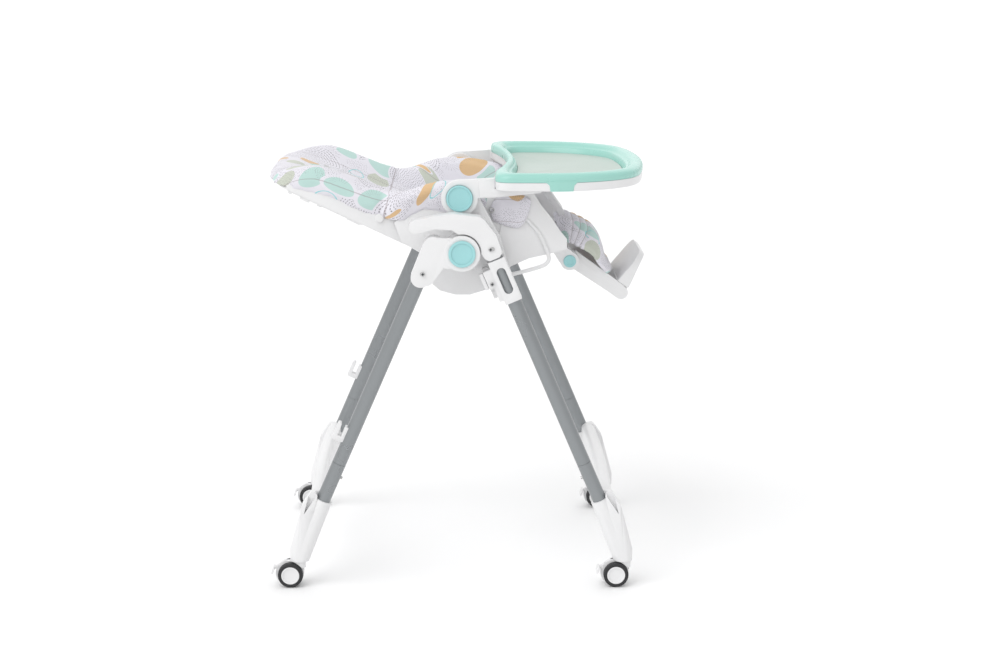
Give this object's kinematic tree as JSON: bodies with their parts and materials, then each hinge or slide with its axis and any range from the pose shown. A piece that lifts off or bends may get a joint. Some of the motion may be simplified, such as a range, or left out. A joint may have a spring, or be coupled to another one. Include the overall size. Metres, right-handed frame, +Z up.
{
  "type": "baby high chair",
  "caption": "Folding baby high chair on casters, with a height-adjustable reclining padded seat, a removable tray on lift-up armrests, and an adjustable leg rest with a foot plate.",
  "frame": {"origin": "on the floor, under the middle of the chair's bounding box", "axes": "+X forward, from the child's back to the tray; +Y to the child's left; +Z up"},
  "size_m": [0.7707, 0.581, 0.831],
  "materials": {
    "white_plastic": "satin moulded",
    "grey_paint": "satin powder coat",
    "steel": "zinc plated",
    "mint_plastic": "soft gloss",
    "cyan_plastic": "soft gloss",
    "sage_plastic": "fine textured",
    "tyre": "matt",
    "printed_fabric": "wipe-clean printed cloth, padded",
    "webbing": "woven"
  },
  "bodies": {
    "front_frame": {"front_base": "white_plastic", "front_leg_upper": "grey_paint", "front_leg_lower": "grey_paint", "front_bracket_R": "white_plastic", "front_bracket_L": "white_plastic", "front_fasteners": "steel"},
    "rear_frame": {"rear_base": "white_plastic", "rear_leg_upper": "grey_paint", "rear_leg_lower": "grey_paint", "rear_bracket_R": "white_plastic", "rear_bracket_L": "white_plastic", "rear_fasteners": "steel", "tray_hooks": "white_plastic"},
    "seat_carrier": {"slider_R": "white_plastic", "slider_L": "white_plastic", "carrier_arm_R": "white_plastic", "carrier_arm_L": "white_plastic", "seat_shell": "white_plastic", "side_loops": "white_plastic", "crotch_post": "white_plastic", "backrest_rod": "steel", "seat_cushion": "printed_fabric", "harness": "webbing", "harness_buckle": "white_plastic"},
    "armrests": {"armrest_R": "white_plastic", "armrest_L": "white_plastic"},
    "tray": {"tray_base": "white_plastic"},
    "meal_tray": {"tray_top": "mint_plastic", "tray_insert": "sage_plastic"},
    "backrest": {"backrest_shell": "white_plastic", "back_cushion": "printed_fabric", "shoulder_straps": "webbing"},
    "recline_paddle": {"recline_lever": "white_plastic"},
    "leg_support": {"leg_rest": "white_plastic", "leg_rest_cushion": "printed_fabric"},
    "foot_support": {"foot_plate": "white_plastic"},
    "fold_catch_R": {"fold_button_R": "cyan_plastic"},
    "armrest_catch_R": {"armrest_button_R": "cyan_plastic"},
    "leg_rest_catch_R": {"leg_rest_button_R": "cyan_plastic"},
    "height_catch_R": {"height_trigger_R": "white_plastic"},
    "fold_catch_L": {"fold_button_L": "cyan_plastic"},
    "armrest_catch_L": {"armrest_button_L": "cyan_plastic"},
    "leg_rest_catch_L": {"leg_rest_button_L": "cyan_plastic"},
    "height_catch_L": {"height_trigger_L": "white_plastic"},
    "caster_FR": {"caster_hood_FR": "white_plastic"},
    "wheels_FR": {"caster_hubs_FR": "white_plastic", "caster_tyres_FR": "tyre"},
    "brake_FR": {"caster_brake_FR": "white_plastic"},
    "caster_FL": {"caster_hood_FL": "white_plastic"},
    "wheels_FL": {"caster_hubs_FL": "white_plastic", "caster_tyres_FL": "tyre"},
    "brake_FL": {"caster_brake_FL": "white_plastic"},
    "caster_RR": {"caster_hood_RR": "white_plastic"},
    "wheels_RR": {"caster_hubs_RR": "white_plastic", "caster_tyres_RR": "tyre"},
    "brake_RR": {"caster_brake_RR": "white_plastic"},
    "caster_RL": {"caster_hood_RL": "white_plastic"},
    "wheels_RL": {"caster_hubs_RL": "white_plastic", "caster_tyres_RL": "tyre"},
    "brake_RL": {"caster_brake_RL": "white_plastic"}
  },
  "joints": [
    {"name": "rear_frame_fold", "type": "hinge", "parent": "front_frame", "child": "rear_frame", "pos_m": [0.015, 0, 0.676], "axis": [0, -1, 0], "range_deg": [0, 43]},
    {"name": "seat_height", "type": "slide", "parent": "front_frame", "child": "seat_carrier", "axis": [0.3955, 0, -0.9184], "range_m": [0, 0.3]},
    {"name": "backrest_recline", "type": "hinge", "parent": "seat_carrier", "child": "backrest", "pos_m": [-0.05, 0, 0.668], "axis": [0, -1, 0], "range_deg": [-50, 0]},
    {"name": "recline_release", "type": "hinge", "parent": "backrest", "child": "recline_paddle", "pos_m": [-0.2685, 0, 0.74837], "axis": [0, 1, 0], "range_deg": [0, 9], "stiffness_Nm_per_rad": 0.6},
    {"name": "leg_rest_angle", "type": "hinge", "parent": "seat_carrier", "child": "leg_support", "pos_m": [0.232, 0, 0.634], "axis": [0, 1, 0], "range_deg": [-20, 39]},
    {"name": "foot_plate_reach", "type": "slide", "parent": "leg_support", "child": "foot_support", "axis": [0.809, 0, -0.5878], "range_m": [0, 0.03]},
    {"name": "armrest_lift", "type": "hinge", "parent": "seat_carrier", "child": "armrests", "pos_m": [0.01, 0, 0.777], "axis": [0, -1, 0], "range_deg": [0, 40]},
    {"name": "tray_reach", "type": "slide", "parent": "armrests", "child": "tray", "axis": [1, 0, 0], "range_m": [0, 0.05]},
    {"name": "meal_tray_lift_off", "type": "slide", "parent": "tray", "child": "meal_tray", "axis": [0, 0, 1], "range_m": [0, 0.06]},
    {"name": "fold_button_press_R", "type": "slide", "parent": "rear_frame", "child": "fold_catch_R", "axis": [0, 1, 0], "range_m": [0, 0.004], "stiffness_N_per_m": 600},
    {"name": "armrest_button_press_R", "type": "slide", "parent": "armrests", "child": "armrest_catch_R", "axis": [0, 1, 0], "range_m": [0, 0.004], "stiffness_N_per_m": 600},
    {"name": "leg_rest_button_press_R", "type": "slide", "parent": "seat_carrier", "child": "leg_rest_catch_R", "axis": [0, 1, 0], "range_m": [0, 0.004], "stiffness_N_per_m": 600},
    {"name": "height_trigger_pull_R", "type": "slide", "parent": "seat_carrier", "child": "height_catch_R", "axis": [-0.3955, 0, 0.9184], "range_m": [0, 0.006], "stiffness_N_per_m": 600},
    {"name": "fold_button_press_L", "type": "slide", "parent": "rear_frame", "child": "fold_catch_L", "axis": [0, -1, 0], "range_m": [0, 0.004], "stiffness_N_per_m": 600},
    {"name": "armrest_button_press_L", "type": "slide", "parent": "armrests", "child": "armrest_catch_L", "axis": [0, -1, 0], "range_m": [0, 0.004], "stiffness_N_per_m": 600},
    {"name": "leg_rest_button_press_L", "type": "slide", "parent": "seat_carrier", "child": "leg_rest_catch_L", "axis": [0, -1, 0], "range_m": [0, 0.004], "stiffness_N_per_m": 600},
    {"name": "height_trigger_pull_L", "type": "slide", "parent": "seat_carrier", "child": "height_catch_L", "axis": [-0.3955, 0, 0.9184], "range_m": [0, 0.006], "stiffness_N_per_m": 600},
    {"name": "caster_swivel_FR", "type": "hinge", "parent": "front_frame", "child": "caster_FR", "pos_m": [0.34, -0.265, 0.07], "axis": [0, 0, 1], "continuous": true},
    {"name": "wheel_spin_FR", "type": "hinge", "parent": "caster_FR", "child": "wheels_FR", "pos_m": [0.324, -0.265, 0.025], "axis": [0, 1, 0], "continuous": true},
    {"name": "brake_press_FR", "type": "hinge", "parent": "caster_FR", "child": "brake_FR", "pos_m": [0.301, -0.265, 0.04], "axis": [0, -1, 0], "range_deg": [0, 10]},
    {"name": "caster_swivel_FL", "type": "hinge", "parent": "front_frame", "child": "caster_FL", "pos_m": [0.34, 0.265, 0.07], "axis": [0, 0, 1], "continuous": true},
    {"name": "wheel_spin_FL", "type": "hinge", "parent": "caster_FL", "child": "wheels_FL", "pos_m": [0.324, 0.265, 0.025], "axis": [0, 1, 0], "continuous": true},
    {"name": "brake_press_FL", "type": "hinge", "parent": "caster_FL", "child": "brake_FL", "pos_m": [0.301, 0.265, 0.04], "axis": [0, -1, 0], "range_deg": [0, 10]},
    {"name": "caster_swivel_RR", "type": "hinge", "parent": "rear_frame", "child": "caster_RR", "pos_m": [-0.31, -0.265, 0.07], "axis": [0, 0, 1], "continuous": true},
    {"name": "wheel_spin_RR", "type": "hinge", "parent": "caster_RR", "child": "wheels_RR", "pos_m": [-0.326, -0.265, 0.025], "axis": [0, 1, 0], "continuous": true},
    {"name": "brake_press_RR", "type": "hinge", "parent": "caster_RR", "child": "brake_RR", "pos_m": [-0.349, -0.265, 0.04], "axis": [0, -1, 0], "range_deg": [0, 10]},
    {"name": "caster_swivel_RL", "type": "hinge", "parent": "rear_frame", "child": "caster_RL", "pos_m": [-0.31, 0.265, 0.07], "axis": [0, 0, 1], "continuous": true},
    {"name": "wheel_spin_RL", "type": "hinge", "parent": "caster_RL", "child": "wheels_RL", "pos_m": [-0.326, 0.265, 0.025], "axis": [0, 1, 0], "continuous": true},
    {"name": "brake_press_RL", "type": "hinge", "parent": "caster_RL", "child": "brake_RL", "pos_m": [-0.349, 0.265, 0.04], "axis": [0, -1, 0], "range_deg": [0, 10]}
  ]
}
